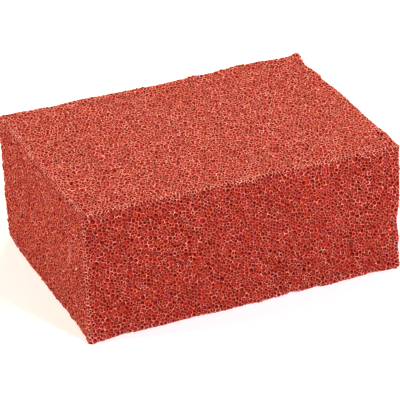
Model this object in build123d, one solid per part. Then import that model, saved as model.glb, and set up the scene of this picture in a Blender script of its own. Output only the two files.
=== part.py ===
from build123d import *
import os
from math import radians, tan

# A block of coarse open-cell sponge rubber, held in the hand and wiped wet over grout, plaster or stucco.
# It is a single piece, sawn from a thick sheet, with no handle, backing plate or fixings.
# Millimetres. +Z is up and +X runs along the long side. The origin is on the underside, below the middle.

block_length = 152.4  # long side, measured at mid height
block_width = 101.6  # short side, measured at mid height
block_height = 63.5  # thickness of the sheet, from underside to top
end_lean = 1.5  # degrees that both end cuts lean off square, their tops towards -X
side_lean = 0.9  # degrees that both long cuts lean off square, their tops towards +Y
edge_round = 1.0  # radius to which the soft rubber's cut edges round off


def sponge_block():
    # The saw leaned a little on each cut, so the top stands slightly off the underside.
    top_shift_x = -block_height * tan(radians(end_lean))
    top_shift_y = block_height * tan(radians(side_lean))
    underside = Pos(-top_shift_x / 2, -top_shift_y / 2, 0) * Rectangle(block_length, block_width)
    way_up = Vector(top_shift_x, top_shift_y, block_height)
    block = extrude(underside, amount=way_up.length, dir=way_up)
    return fillet(block.edges(), edge_round)


os.makedirs("parts", exist_ok=True)
export_step(sponge_block(), "parts/sponge_block.step")
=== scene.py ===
import math
import bpy
import numpy as np
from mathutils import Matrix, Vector
from mathutils.geometry import delaunay_2d_cdt


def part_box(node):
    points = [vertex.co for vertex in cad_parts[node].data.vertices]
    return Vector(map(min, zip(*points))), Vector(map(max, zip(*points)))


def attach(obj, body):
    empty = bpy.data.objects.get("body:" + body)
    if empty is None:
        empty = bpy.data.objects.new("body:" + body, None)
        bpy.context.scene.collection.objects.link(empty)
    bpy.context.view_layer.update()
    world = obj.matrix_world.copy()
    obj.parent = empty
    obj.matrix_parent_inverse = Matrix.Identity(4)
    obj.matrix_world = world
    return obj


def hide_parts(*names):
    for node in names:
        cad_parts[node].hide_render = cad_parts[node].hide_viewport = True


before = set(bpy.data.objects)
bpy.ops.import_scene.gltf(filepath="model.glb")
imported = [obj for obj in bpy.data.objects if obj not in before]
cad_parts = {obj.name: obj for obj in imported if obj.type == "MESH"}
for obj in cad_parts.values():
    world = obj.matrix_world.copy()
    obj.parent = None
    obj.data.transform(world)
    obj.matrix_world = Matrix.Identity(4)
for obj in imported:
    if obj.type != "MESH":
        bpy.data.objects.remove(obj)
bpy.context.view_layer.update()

cadLow, cadHigh = (np.array(corner, float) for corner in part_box("sponge_block"))
mm = 0.001


def addNode(tree, kind, inputs={}, **settings):
    # Adds one node, sets it, and fills or links its inputs. Gives back its first output socket.
    node = tree.nodes.new(kind)
    for name, value in settings.items():
        setattr(node, name, value)
    for key, value in inputs.items():
        named = [s for s in node.inputs if s.name == key and s.enabled]
        socket = node.inputs[key] if isinstance(key, int) else named[0]
        if isinstance(value, bpy.types.NodeSocket):
            tree.links.new(value, socket)
        else:
            socket.default_value = value
    return next((s for s in node.outputs if s.enabled), node)


def linearColour(hexColour):
    channels = [int(hexColour[i:i + 2], 16) / 255 for i in (1, 3, 5)]
    return (*[c / 12.92 if c <= 0.04045 else ((c + 0.055) / 1.055) ** 2.4 for c in channels], 1)


# The camera and the lights of a plain product shot. Azimuth 0 is in front of the block, 90 to its right.
view = {
    "azimuth": -24.7,
    "elevation": 29.3,
    "distance": 975 * mm,
    "lens": 191.9,
    "sensorWidth": 36,
    "aimRight": 0.43 * mm,
    "aimUp": -3.65 * mm,
}
studio = {
    "floorColour": "#f5f5f5",
    "floorGlow": 0.25,
    "floorRoughness": 0.9,
    "floorSize": 6.0,
    "lightDistance": 1.3,
    "lightSize": 0.3,
    "skyColour": "#fff8f2",
    "skyStrength": 0.39,
}
lights = {
    "keyLight": {"azimuth": -105, "elevation": 33, "power": 17.5, "colour": "#ffe6d4"},
    "fillLight": {"azimuth": 25, "elevation": 33, "power": 18.5, "colour": "#fff0f8"},
    "backLight": {"azimuth": 150, "elevation": 40, "power": 9.2, "colour": "#ffda9a"},
}


def direction(azimuth, elevation):
    turn, rise = math.radians(azimuth), math.radians(elevation)
    return Vector((math.sin(turn) * math.cos(rise), -math.cos(turn) * math.cos(rise), math.sin(rise)))


def makeCamera():
    back = direction(view["azimuth"], view["elevation"])
    right = Vector((0, 0, 1)).cross(back).normalized()
    aim = Vector((cadLow + cadHigh) / 2) + right * view["aimRight"] + back.cross(right) * view["aimUp"]
    camera = bpy.data.objects.new("camera", bpy.data.cameras.new("camera"))
    bpy.context.collection.objects.link(camera)
    camera.location = aim + back * view["distance"]
    camera.rotation_euler = back.to_track_quat("Z", "Y").to_euler()
    camera.data.lens = view["lens"]
    camera.data.sensor_width = view["sensorWidth"]
    camera.data.clip_start, camera.data.clip_end = 0.01, 50
    bpy.context.scene.camera = camera
    print("camera: ready")


def makeStudio():
    scene = bpy.context.scene
    scene.view_settings.view_transform = "Standard"
    bpy.ops.mesh.primitive_plane_add(size=studio["floorSize"])
    floor = bpy.context.object
    floor.name = "studioFloor"
    # A matt paper sweep on a light table, so that it stays white close to the block.
    material = bpy.data.materials.new("mattPaperSweep")
    material.use_nodes = True
    shader = material.node_tree.nodes["Principled BSDF"]
    shader.inputs["Base Color"].default_value = linearColour(studio["floorColour"])
    shader.inputs["Roughness"].default_value = studio["floorRoughness"]
    shader.inputs["Emission Color"].default_value = linearColour(studio["floorColour"])
    shader.inputs["Emission Strength"].default_value = studio["floorGlow"]
    floor.data.materials.append(material)
    for name, light in lights.items():
        toLight = direction(light["azimuth"], light["elevation"])
        lamp = bpy.data.objects.new(name, bpy.data.lights.new(name, "AREA"))
        bpy.context.collection.objects.link(lamp)
        lamp.data.size = studio["lightSize"]
        lamp.data.energy = light["power"]
        lamp.data.color = linearColour(light["colour"])[:3]
        lamp.location = toLight * studio["lightDistance"]
        lamp.rotation_euler = toLight.to_track_quat("Z", "Y").to_euler()
    world = bpy.data.worlds.new("studioSky")
    scene.world = world
    world.use_nodes = True
    background = world.node_tree.nodes["Background"]
    background.inputs["Color"].default_value = linearColour(studio["skyColour"])
    background.inputs["Strength"].default_value = studio["skyStrength"]
    print("studio: floor, sky and", len(lights), "lights")


# The block's skin, as it was sawn: where each cell that the saw opened lies, and how its net was left.
skin = {
    "seed": 7,
    "cellSpacing": 1.6 * mm,  # mean distance between the middles of neighbouring cells
    "sizeSpread": 0.58,  # how much cells differ, as the spread of the logarithm of their size
    "coarseSpread": 0.2,  # how much coarser and finer patches differ
    "coarseSize": 22 * mm,
    "largeShare": 0.09,  # share of cells that grew much larger than their neighbours
    "largeGrowth": 1.75,
    "largest": 2.7,  # no cell is more than this many times the usual size
    "sizeShift": 0.07,  # taken off the logarithm of every size
    "rowStep": 0.866,  # distance between the rows of a honeycomb, as a share of its spacing
    "jitter": 0.45,  # how far a cell starts from its place in the honeycomb, as a share of the spacing
    "settleRounds": 8,
    "settlePull": 0.6,
    "settleMargin": 0.35,  # cells stay this share of the spacing away from the block's edges
    "endLean": 1.5,  # degrees, as the block was sawn
    "sideLean": 0.9,
    "edgeRound": 1.0 * mm,
    "sag": 0.7 * mm,  # how far below the cut the junctions of the net can sit
    "proud": 0.4 * mm,  # how far the highest junctions stand out from the plain block
    "brokenShare": 0.12,  # share of junctions that the saw broke out
    "brokenDepth": 0.6 * mm,
    "tornShare": 0.04,  # share of junctions that it left standing proud
    "tornHeight": 0.35 * mm,
    "raggedDepth": 0.2 * mm,  # how deep the saw tore where it caught
    "raggedSize": 5 * mm,
    "raggedFrom": 0.2,  # it caught only where a smooth random field is above this
    "calmReach": 2 * mm,  # the net is less uneven nearer than this to the block's edges
    "calmShare": 0.25,
    "roughReach": 3 * mm,  # knocks that reach further than this are smoother
    "glintRarity": 3.3,  # how rare the palest spots of the net, painted highlights, are
    "edgeGlint": 0.5,  # how much paler the net is along the block's edges, as a painted highlight
    "edgeGlintReach": 1.2 * mm,
    "topHighlight": 0.35,  # and over the side that faces up, as painted light
    "edgeWander": 0.25 * mm,  # how far the block's edges wander from straight
    "wanderSize": 14 * mm,
    "wanderReach": 4 * mm,
}
# Knocks and torn tufts along the block's edges: place as a share of its half sizes, reach, height.
knocks = [
    ((0.66, 1, 1), 26.0 * mm, 1.2 * mm),
    ((0.27, 1, 1), 2.5 * mm, 0.8 * mm),
    ((0.60, 1, 1), 2.0 * mm, 0.6 * mm),
    ((1, 1, 1), 3.0 * mm, 1.5 * mm),
    ((1, 0.80, 1), 3.0 * mm, -0.9 * mm),
    ((1, 0.55, 1), 3.5 * mm, 0.6 * mm),
    ((1, -1, 1), 2.0 * mm, 0.3 * mm),
    ((1, -1, -0.2), 6.0 * mm, -0.9 * mm),
    ((1, -1, -0.5), 2.5 * mm, 0.5 * mm),
    ((1, -1, -0.9), 3.0 * mm, 0.7 * mm),
    ((-1, -1, -1), 2.5 * mm, 0.8 * mm),
    ((-0.77, -1, -1), 3.0 * mm, -0.8 * mm),
    ((0.28, -1, -1), 2.0 * mm, -0.7 * mm),
    ((0.44, -1, -1), 3.0 * mm, -1.0 * mm),
    ((0.82, -1, -1), 3.0 * mm, -0.9 * mm),
]
# Each opened cell is a pit, with a thin rim of rubber that it shares with its neighbours.
pits = {
    "rimWidth": 0.13 * mm,  # thickness of the rubber between two pits, at the cut
    "rimSpread": 0.35,
    "edgeRim": 0.6,  # how much thicker the rims are along the block's edges
    "edgeRimReach": 0.8 * mm,
    "narrowestRim": 0.35,  # a rim leaves a small pit at least this share of its width
    "narrowestFilm": 0.4,
    "filmWidth": 0.1 * mm,  # thickness of the film below, where the pits bulge
    "depth": 0.75,  # mean depth of a pit, as a share of its radius
    "depthSpread": 0.4,
    "mostDepth": 1.1 * mm,  # the largest cells are shallow bowls
    "leastDepth": 0.5 * mm,
    "edgeDepth": 0.8,  # depth near the block's edges, as a share of the distance to them
    "openShare": 0.42,  # share of pits that open at the bottom into the cell below
    "openSize": 14 * mm,  # size of the patches with more of those, or fewer
    "openSpread": 0.35,
    "drift": 0.35,  # how far the bottom lies off the middle, as a share of the radius
}


def waves(points, size, random):
    # A smooth field around zero, most of it between -1 and 1, that changes over the given size.
    turns = random.normal(size=(12, 3)) * 2 / size
    return np.cos(points @ turns.T + random.uniform(0, 2 * math.pi, 12)).sum(1) / 2.8


def triangulate(flat):
    return np.array(delaunay_2d_cdt([Vector(p) for p in flat.tolist()], [], [], 0, 1e-9, True)[2])


def settle(flat, fixed, radii):
    # Neighbouring cells push and pull each other until each has the room that its size asks for.
    for _ in range(skin["settleRounds"]):
        triangles = triangulate(flat)
        edges = np.concatenate([triangles[:, [0, 1]], triangles[:, [1, 2]], triangles[:, [2, 0]]])
        gap = flat[edges[:, 1]] - flat[edges[:, 0]]
        length = np.maximum(np.linalg.norm(gap, axis=1), 1e-7)
        pull = gap * (skin["settlePull"] * (length - radii[edges].sum(1)) / length)[:, None]
        count = np.maximum(np.bincount(edges[:, 0], minlength=len(flat)), 1)
        for axis in (0, 1):
            flat[fixed:, axis] += (np.bincount(edges[:, 0], pull[:, axis], len(flat)) / count)[fixed:]
        margin = skin["settleMargin"] * skin["cellSpacing"]
        flat[fixed:] = np.clip(flat[fixed:], flat[:fixed].min(0) + margin, flat[:fixed].max(0) - margin)
    return flat


def edgeCells(half, random):
    # Cells on the block's corners, then cells along its twelve edges, which the faces share.
    cells = [np.array([[x, y, z] for x in (-1, 1) for y in (-1, 1) for z in (-1, 1)]) * half]
    for axis in range(3):
        others = [a for a in range(3) if a != axis]
        for signs in ((-1, -1), (-1, 1), (1, -1), (1, 1)):
            steps = random.uniform(0.5, 1.5, int(2 * half[axis] / skin["cellSpacing"]))
            edge = np.zeros((len(steps), 3))
            edge[:, axis] = (2 * np.cumsum(steps) / (steps.sum() + 1) - 1) * half[axis]
            edge[:, others] = np.array(signs) * half[others]
            cells.append(edge)
    return np.concatenate(cells)


def faceCells(half, u, v, random):
    # A loose honeycomb over one face.
    spacing = skin["cellSpacing"]
    cols = np.arange(-half[u] + spacing / 2, half[u], spacing)
    rows = np.arange(-half[v] + spacing / 2, half[v], spacing * skin["rowStep"])
    grid = np.stack(np.meshgrid(cols, rows), -1)
    grid[1::2, :, 0] += spacing / 2
    grid = grid.reshape(-1, 2)
    grid += random.uniform(-skin["jitter"], skin["jitter"], grid.shape) * spacing
    return grid[(np.abs(grid) < half[[u, v]] - 0.3 * spacing).all(1)]


def planCells(half, random):
    cells = edgeCells(half, random)
    shared = len(cells)
    coarseSeed = int(random.integers(1 << 30))
    net = []
    for axis in range(3):
        u, v = (axis + 1) % 3, (axis + 2) % 3
        for sign in (-1, 1):
            onEdge = np.flatnonzero(np.isclose(cells[:shared, axis], sign * half[axis]))
            inner = faceCells(half, u, v, random)
            place = np.full((len(inner), 3), sign * half[axis])
            place[:, [u, v]] = inner
            coarse = waves(place, skin["coarseSize"], np.random.default_rng(coarseSeed))
            size = skin["sizeSpread"] * random.normal(size=len(inner)) + skin["coarseSpread"] * coarse
            size += math.log(skin["largeGrowth"]) * (random.random(len(inner)) < skin["largeShare"])
            size = np.minimum(size, math.log(skin["largest"]))
            growths = np.append(np.ones(len(onEdge)), np.exp(size - skin["sizeShift"]))
            radii = growths * skin["cellSpacing"] / 2
            flat = settle(np.concatenate([cells[onEdge][:, [u, v]], inner]), len(onEdge), radii)
            place[:, [u, v]] = flat[len(onEdge):]
            ids = np.append(onEdge, np.arange(len(cells), len(cells) + len(inner)))
            cells = np.concatenate([cells, place])
            triangles = triangulate(flat)
            a, b, c = (flat[triangles[:, i]] for i in range(3))
            turn = (b - a)[:, 0] * (c - a)[:, 1] - (b - a)[:, 1] * (c - a)[:, 0]
            triangles[turn * sign < 0] = triangles[turn * sign < 0][:, ::-1]
            net.append(ids[triangles[np.abs(turn) > 1e-12]])
    return cells, np.concatenate(net)


def cutNet(junctions, half, random):
    # Rounds and leans the junctions of the net as the block is, then tears them as the saw did.
    core = half - skin["edgeRound"]
    nearest = np.clip(junctions, -core, core)
    outward = junctions - nearest
    outward /= np.linalg.norm(outward, axis=1)[:, None]
    toEdge = np.sort(half - np.abs(junctions), axis=1)[:, 1]
    count = len(junctions)
    rise = -skin["sag"] * random.random(count) ** 1.5
    rise -= skin["brokenDepth"] * (random.random(count) < skin["brokenShare"])
    rise *= np.clip(toEdge / skin["calmReach"], skin["calmShare"], 1)
    rise += skin["tornHeight"] * (random.random(count) < skin["tornShare"]) + skin["proud"]
    ragged = waves(junctions, skin["raggedSize"], random) - skin["raggedFrom"]
    rise -= skin["raggedDepth"] * np.clip(ragged, 0, 1)
    wander = skin["edgeWander"] * waves(junctions, skin["wanderSize"], random)
    rise += wander * np.exp(-toEdge / skin["wanderReach"])
    for place, reach, height in knocks:
        away = np.linalg.norm(junctions - half * place, axis=1) / reach
        uneven = random.uniform(0.5, 1.5, count) ** min(1, skin["roughReach"] / reach)
        rise += height * np.exp(-away ** 2) * uneven
    cut = nearest + outward * (skin["edgeRound"] + rise)[:, None]
    cut[:, 0] -= cut[:, 2] * math.tan(math.radians(skin["endLean"]))
    cut[:, 1] += cut[:, 2] * math.tan(math.radians(skin["sideLean"]))
    cut[:, 2] = np.maximum(cut[:, 2], -half[2])
    # Pale spots on the net's rims are painted highlights: a few at random, more along the block's edges and
    # over its top.
    paleGlint = random.random(count) ** skin["glintRarity"]
    paleGlint += skin["edgeGlint"] * np.exp(-toEdge / skin["edgeGlintReach"])
    paleGlint += skin["topHighlight"] * (outward[:, 2] > 0.5)
    return cut, outward, toEdge, paleGlint


def makeSkin():
    random = np.random.default_rng(skin["seed"])
    lean = np.tan(np.radians([skin["endLean"], skin["sideLean"], 0])) * (cadHigh - cadLow)[2]
    half = (cadHigh - cadLow - np.abs(lean)) / 2
    cells, net = planCells(half, random)
    junctions = cells[net].mean(1)
    cut, outward, toEdge, paleGlint = cutNet(junctions, half, random)
    mesh = bpy.data.meshes.new("sponge")
    mesh.from_pydata((cells + [0, 0, half[2]]).tolist(), [], net.tolist())

    def perCell(values):
        # Averages what is known of the junctions over the cells around them.
        total = sum(np.bincount(net[:, i], values, len(cells)) for i in range(3))
        return total / np.bincount(net.ravel(), minlength=len(cells))

    a, b, c = (cells[net[:, i]] for i in range(3))
    area = np.linalg.norm(np.cross(b - a, c - a), axis=1) / 6
    radius = np.sqrt(perCell(area) * np.bincount(net.ravel(), minlength=len(cells)) / math.pi)
    inward = -np.stack([perCell(outward[:, i]) for i in range(3)], 1)
    depth = radius * (pits["depth"] + pits["depthSpread"] * random.uniform(-1, 1, len(cells)))
    edgeDepth = pits["edgeDepth"] * perCell(toEdge)
    depth = np.minimum(depth, np.clip(edgeDepth, pits["leastDepth"], pits["mostDepth"]))
    drift = np.cross(inward, random.uniform(-1, 1, cells.shape)) * (radius * pits["drift"])[:, None]
    rim = pits["rimWidth"] * np.exp(pits["rimSpread"] * random.normal(size=len(cells)))
    rim *= 1 + pits["edgeRim"] * np.exp(-perCell(toEdge) / pits["edgeRimReach"])
    middle = np.stack([perCell(cut[:, i]) for i in range(3)], 1)
    arms = [np.linalg.norm(cut - middle[net[:, i]], axis=1) for i in range(3)]
    reach = sum(np.bincount(net[:, i], arms[i], len(cells)) for i in range(3))
    reach /= np.bincount(net.ravel(), minlength=len(cells))
    patches = 1 + pits["openSpread"] * waves(cells, pits["openSize"], random)
    opens = random.random(len(cells)) < pits["openShare"] * patches
    filmShare = np.maximum(1 - pits["filmWidth"] / 2 / radius, pits["narrowestFilm"])
    for name, kind, domain, values in (
            ("shift", "FLOAT_VECTOR", "FACE", cut - junctions),
            # The next two carry painted highlights on the rims and painted warm light on the side that
            # faces up.
            ("paleGlint", "FLOAT", "FACE", paleGlint),
            ("upwardLight", "FLOAT", "FACE", np.clip(outward[:, 2], 0, 1)),
            ("inward", "FLOAT_VECTOR", "POINT", inward * depth[:, None]),
            ("drift", "FLOAT_VECTOR", "POINT", drift),
            ("middle", "FLOAT_VECTOR", "POINT", middle + [0, 0, half[2]]),
            ("reach", "FLOAT", "POINT", reach),
            ("rimShare", "FLOAT", "POINT", np.maximum(1 - rim / 2 / radius, pits["narrowestRim"])),
            ("filmShare", "FLOAT", "POINT", filmShare),
            ("opens", "FLOAT", "POINT", opens),
            ("patches", "FLOAT", "POINT", patches),
            ("tone", "FLOAT", "POINT", random.random(len(cells)))):
        attribute = mesh.attributes.new(name, kind, domain)
        field = "vector" if kind == "FLOAT_VECTOR" else "value"
        attribute.data.foreach_set(field, values.ravel().astype(float))
    print("skin:", len(cells), "cells in a net with", len(net), "junctions")
    return mesh


# How the pits are grown from the net.
growth = {
    "Rim drop": 0.08,  # these four are shares of a pit's depth
    "Wall drop": 0.4,
    "Bowl drop": 0.34,
    "Floor drop": 0.2,
    "Bowl width": 0.84,
    "Roundness": 0.99,  # a pit's corners are no further out than this share of their mean distance
    "Hole width": 0.42,
    "Hole depth": 1.8,
    "Hole flare": 1.35,  # holes widen below their mouths, into the next cell
    "Film width": 0.2,
    "Burst share": 0.1,  # share of the other pits' small bottom films that have burst
    "Burst drop": 0.03,
    "Burst width": 0.7,
    "Burst flare": 1.25,
    "Wobble": 0.4 * mm,
    "Wobble size": 0.55 * mm,
    "Seed": 11,
}
# What each ring of a pit stores as pitDepth, which the rubber's colours follow, darker with depth as
# painted shade: the net's rims are at 0.
pitDepths = {
    "rim": 0.1,
    "wall": 0.4,
    "bowl": 0.65,
    "film": 0.7,
    "holeMouth": 0.75,
    "burstMouth": 0.8,
    "shadedHole": 1.0,
}
# What the skin tells the tree of each junction or cell. None of it is needed once the pits are grown.
plans = ("shift", "inward", "drift", "middle", "reach", "rimShare", "filmShare", "opens", "patches")
belowAll = -9.0  # metres; it leaves x and y as they are where only z is held at the floor


def growthTree():
    tree = bpy.data.node_groups.new("growPits", "GeometryNodeTree")
    sockets = tree.interface
    sockets.new_socket("Geometry", in_out="OUTPUT", socket_type="NodeSocketGeometry")
    sockets.new_socket("Geometry", in_out="INPUT", socket_type="NodeSocketGeometry")
    for name, value in growth.items():
        kind = "NodeSocketInt" if isinstance(value, int) else "NodeSocketFloat"
        sockets.new_socket(name, in_out="INPUT", socket_type=kind).default_value = value
    sockets.new_socket("Material", in_out="INPUT", socket_type="NodeSocketMaterial")
    given = tree.nodes.new("NodeGroupInput").outputs
    known = {}
    for name in plans:
        kind = "FLOAT_VECTOR" if name in ("shift", "inward", "drift", "middle") else "FLOAT"
        known[name] = addNode(tree, "GeometryNodeInputNamedAttribute", {"Name": name}, data_type=kind)

    # One more ring of each chosen pit: it sinks by a share of the pit's depth, changes width and may shift.
    def ring(mesh, chosen, drop, width, dark, shift=None):
        offset = addNode(tree, "ShaderNodeVectorMath", {
            0: known["inward"], "Scale": drop}, operation="SCALE")
        mesh = addNode(tree, "GeometryNodeExtrudeMesh", {
            "Mesh": mesh, "Selection": chosen, "Offset": offset, "Offset Scale": 1.0})
        top, side = mesh.node.outputs["Top"], mesh.node.outputs["Side"]
        mesh = addNode(tree, "GeometryNodeScaleElements", {
            "Geometry": mesh, "Selection": top, "Scale": width})
        if shift:
            mesh = addNode(tree, "GeometryNodeSetPosition", {
                "Geometry": mesh, "Selection": top, "Offset": shift})
        mesh = addNode(tree, "GeometryNodeStoreNamedAttribute", {
            "Geometry": mesh, "Selection": top, "Name": "pitDepth", "Value": dark}, domain="POINT")
        return mesh, top, side

    # The cells' outlines.
    mesh = addNode(tree, "GeometryNodeDualMesh", {"Mesh": given["Geometry"]})
    mesh = addNode(tree, "GeometryNodeSetPosition", {"Geometry": mesh, "Offset": known["shift"]})
    mesh = addNode(tree, "GeometryNodeStoreNamedAttribute", {
        "Geometry": mesh, "Name": "pitDepth", "Value": 0.0}, domain="POINT")

    # The rim. Corners that stick out are pulled in, so pits are rounder and rims thicker where pits meet.
    mesh, top, side = ring(mesh, True, given["Rim drop"], known["rimShare"], pitDepths["rim"])
    place = addNode(tree, "GeometryNodeInputPosition")
    arm = addNode(tree, "ShaderNodeVectorMath", {0: place, 1: known["middle"]}, operation="SUBTRACT")
    length = addNode(tree, "ShaderNodeVectorMath", {0: arm}, operation="LENGTH")
    most = addNode(tree, "ShaderNodeMath", {0: known["reach"], 1: known["rimShare"]}, operation="MULTIPLY")
    most = addNode(tree, "ShaderNodeMath", {0: most, 1: given["Roundness"]}, operation="MULTIPLY")
    excess = addNode(tree, "ShaderNodeMath", {0: most, 1: length}, operation="DIVIDE")
    excess = addNode(tree, "ShaderNodeMath", {0: excess, 1: 1.0}, operation="MINIMUM")
    excess = addNode(tree, "ShaderNodeMath", {0: excess, 1: 1.0}, operation="SUBTRACT")
    pull = addNode(tree, "ShaderNodeVectorMath", {0: arm, "Scale": excess}, operation="SCALE")
    mesh = addNode(tree, "GeometryNodeSetPosition", {"Geometry": mesh, "Selection": top, "Offset": pull})

    # The wall that bulges behind the rim, and the bowl.
    wallShare = addNode(tree, "ShaderNodeMath", {
        0: known["filmShare"], 1: known["rimShare"]}, operation="DIVIDE")
    mesh, top, side = ring(mesh, top, given["Wall drop"], wallShare, pitDepths["wall"])
    mesh, top, side = ring(mesh, top, given["Bowl drop"], given["Bowl width"], pitDepths["bowl"])

    # Some pits open into the cell below. The others end in small films, a few of them burst.
    opens = addNode(tree, "FunctionNodeBooleanMath", {0: top, 1: known["opens"]}, operation="AND")
    closed = addNode(tree, "FunctionNodeBooleanMath", {0: top, 1: known["opens"]}, operation="NIMPLY")
    mesh, opens, side = ring(
        mesh, opens, given["Floor drop"], given["Hole width"], pitDepths["holeMouth"], known["drift"])
    mesh, opens, side = ring(mesh, opens, given["Hole depth"], given["Hole flare"], pitDepths["shadedHole"])
    mesh, top, side = ring(
        mesh, closed, given["Floor drop"], given["Film width"], pitDepths["film"], known["drift"])
    chance = addNode(tree, "ShaderNodeMath", {
        0: given["Burst share"], 1: known["patches"]}, operation="MULTIPLY")
    burst = addNode(tree, "FunctionNodeRandomValue", {
        "Probability": chance, "Seed": given["Seed"]}, data_type="BOOLEAN")
    burst = addNode(tree, "FunctionNodeBooleanMath", {0: side, 1: burst}, operation="AND")
    mesh, burst, side = ring(
        mesh, burst, given["Burst drop"], given["Burst width"], pitDepths["burstMouth"])
    mesh, burst, side = ring(mesh, burst, given["Hole depth"], given["Burst flare"], pitDepths["shadedHole"])

    # Nothing in soft rubber is quite straight, but none of it goes below the floor.
    scale = addNode(tree, "ShaderNodeMath", {0: 1.0, 1: given["Wobble size"]}, operation="DIVIDE")
    noise = addNode(tree, "ShaderNodeTexNoise", {"Scale": scale, "Detail": 1.0}).node.outputs["Color"]
    noise = addNode(tree, "ShaderNodeVectorMath", {0: noise, 1: (0.5, 0.5, 0.5)}, operation="SUBTRACT")
    reach = addNode(tree, "ShaderNodeMath", {0: given["Wobble"], 1: 2.0}, operation="MULTIPLY")
    wobble = addNode(tree, "ShaderNodeVectorMath", {0: noise, "Scale": reach}, operation="SCALE")
    mesh = addNode(tree, "GeometryNodeSetPosition", {"Geometry": mesh, "Offset": wobble})
    onFloor = addNode(tree, "ShaderNodeVectorMath", {
        0: place, 1: (belowAll, belowAll, 0.0)}, operation="MAXIMUM")
    mesh = addNode(tree, "GeometryNodeSetPosition", {"Geometry": mesh, "Position": onFloor})
    mesh = addNode(tree, "GeometryNodeSetShadeSmooth", {"Geometry": mesh, "Shade Smooth": True})
    mesh = addNode(tree, "GeometryNodeRealizeInstances", {"Geometry": mesh})
    mesh = addNode(tree, "GeometryNodeSetMaterial", {"Geometry": mesh, "Material": given["Material"]})
    addNode(tree, "NodeGroupOutput", {0: mesh})
    return tree


# Blown natural rubber, sawn. The rims are orange, with pale spots that are painted highlights. The pits are
# deep red, painted darker with depth as shade.
rubber = {
    "rim": "#b6491b",
    # The palest colour of the rims, for their painted highlights.
    "glintRim": "#e59b89",
    # The pits' colours: partly the films' own deeper red, partly painted shade that darkens with depth to
    # near black in the holes.
    "wall": "#981928",
    "bowl": "#8a1208",
    "shadedHole": "#2a1203",
    "upwardLightTint": "#fffbac",  # the side that faces up is tinted yellower: painted warm light
    "toneSpread": 0.15,
    "uneven": 0.08,  # how unevenly the rubber took its dye
    "unevenSize": 3 * mm,  # size of the lighter and darker clouds in the dye
    "wallAt": 0.3,  # where along pitDepth each of the pit's colours is reached
    "bowlAt": 0.7,
    "holeAt": 0.84,
    "rimTo": 0.06,  # the rim's colour goes down to here, and the pit's starts at the next
    "pitFrom": 0.2,
    "grainSize": 0.35 * mm,  # powdery grain, far finer in real rubber, as coarse as it takes to show
    "grainDepth": 0.05 * mm,
    "grainStrength": 0.6,
    "rimRoughness": 0.4,
    "pitRoughness": 0.7,
    "shine": 0.2,
    "refraction": 1.52,  # as natural rubber
}


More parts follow.
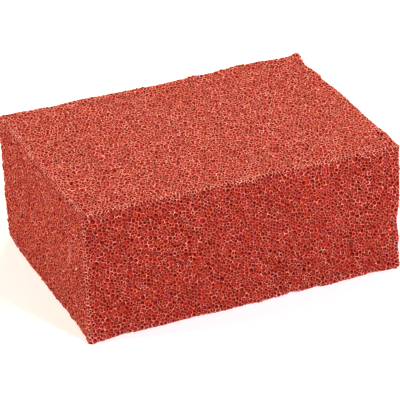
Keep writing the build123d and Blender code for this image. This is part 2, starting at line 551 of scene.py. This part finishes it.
def spongeRubber():
    # Soft red with no clear highlight from the shader: a faint sheen on the rims. The pale rim spots are
    # painted highlights, and the pits are painted darker with depth as shade.
    material = bpy.data.materials.new("spongeRubber")
    material.use_nodes = True
    tree = material.node_tree
    shader = tree.nodes["Principled BSDF"]
    depth = addNode(tree, "ShaderNodeAttribute", attribute_name="pitDepth").node.outputs["Fac"]
    paleGlint = addNode(tree, "ShaderNodeAttribute", attribute_name="paleGlint").node.outputs["Fac"]
    tone = addNode(tree, "ShaderNodeAttribute", attribute_name="tone").node.outputs["Fac"]
    # Faces that point up are tinted yellower: painted warm light on the top.
    upwardLight = addNode(tree, "ShaderNodeAttribute", attribute_name="upwardLight").node.outputs["Fac"]
    upwardLight = addNode(tree, "ShaderNodeMix", {
        "Factor": upwardLight, "A": (1, 1, 1, 1), "B": linearColour(rubber["upwardLightTint"])}, data_type="RGBA")
    # The pits darken with depth down to near black in the holes: painted shade.
    pit = addNode(tree, "ShaderNodeValToRGB", {"Fac": depth})
    stops = pit.node.color_ramp.elements
    stops[0].position, stops[0].color = rubber["wallAt"], linearColour(rubber["wall"])
    stops[1].position, stops[1].color = 1.0, linearColour(rubber["shadedHole"])
    stops.new(rubber["bowlAt"]).color = linearColour(rubber["bowl"])
    stops.new(rubber["holeAt"]).color = linearColour(rubber["shadedHole"])
    lit = addNode(tree, "ShaderNodeMapRange", {
        "Value": tone, "To Min": 1 - rubber["toneSpread"], "To Max": 1 + rubber["toneSpread"]})
    pit = addNode(tree, "ShaderNodeVectorMath", {0: pit, "Scale": lit}, operation="SCALE")
    pit = addNode(tree, "ShaderNodeVectorMath", {0: pit, 1: upwardLight}, operation="MULTIPLY")
    rim = addNode(tree, "ShaderNodeVectorMath", {
        0: upwardLight, 1: linearColour(rubber["rim"])[:3]}, operation="MULTIPLY")
    # Pale spots on the rims: painted highlights.
    rim = addNode(tree, "ShaderNodeMix", {
        "Factor": paleGlint, "A": rim, "B": linearColour(rubber["glintRim"])}, data_type="RGBA")
    inside = addNode(tree, "ShaderNodeMapRange", {
        "Value": depth, "From Min": rubber["rimTo"], "From Max": rubber["pitFrom"]})
    colour = addNode(tree, "ShaderNodeMix", {"Factor": inside, "A": rim, "B": pit}, data_type="RGBA")
    place = addNode(tree, "ShaderNodeTexCoord").node.outputs["Object"]
    uneven = addNode(tree, "ShaderNodeTexNoise", {
        "Vector": place, "Scale": 1 / rubber["unevenSize"], "Detail": 2.0})
    uneven = addNode(tree, "ShaderNodeMapRange", {
        "Value": uneven, "From Min": 0.3, "From Max": 0.7,
        "To Min": 1 - rubber["uneven"], "To Max": 1 + rubber["uneven"]})
    colour = addNode(tree, "ShaderNodeVectorMath", {0: colour, "Scale": uneven}, operation="SCALE")
    tree.links.new(colour, shader.inputs["Base Color"])
    grain = addNode(tree, "ShaderNodeTexNoise", {
        "Vector": place, "Scale": 1 / rubber["grainSize"], "Detail": 1.0})
    grain = addNode(tree, "ShaderNodeBump", {
        "Height": grain, "Strength": rubber["grainStrength"], "Distance": rubber["grainDepth"]})
    tree.links.new(grain, shader.inputs["Normal"])
    dull = addNode(tree, "ShaderNodeMapRange", {
        "Value": inside, "To Min": rubber["rimRoughness"], "To Max": rubber["pitRoughness"]})
    tree.links.new(dull, shader.inputs["Roughness"])
    shader.inputs["IOR"].default_value = rubber["refraction"]
    shader.inputs["Specular IOR Level"].default_value = rubber["shine"]
    return material


def makeSponge():
    sponge = bpy.data.objects.new("sponge", makeSkin())
    bpy.context.collection.objects.link(sponge)
    tree = growthTree()
    grow = sponge.modifiers.new("growPits", "NODES")
    grow.node_group = tree
    inputs = {s.name: s.identifier for s in tree.interface.items_tree if s.in_out == "INPUT"}
    for name, value in growth.items():
        grow[inputs[name]] = value
    grow[inputs["Material"]] = spongeRubber()
    grown = sponge.evaluated_get(bpy.context.evaluated_depsgraph_get())
    result = bpy.data.meshes.new_from_object(grown)
    sponge.modifiers.remove(grow)
    sponge.data = result
    for name in plans:
        result.attributes.remove(result.attributes[name])
    triangles = sum(len(p.vertices) - 2 for p in result.polygons)
    print("sponge:", len(result.vertices), "vertices,", triangles, "triangles")
    return sponge


makeCamera()
makeStudio()
sponge = makeSponge()
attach(sponge, "root")
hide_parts("sponge_block")
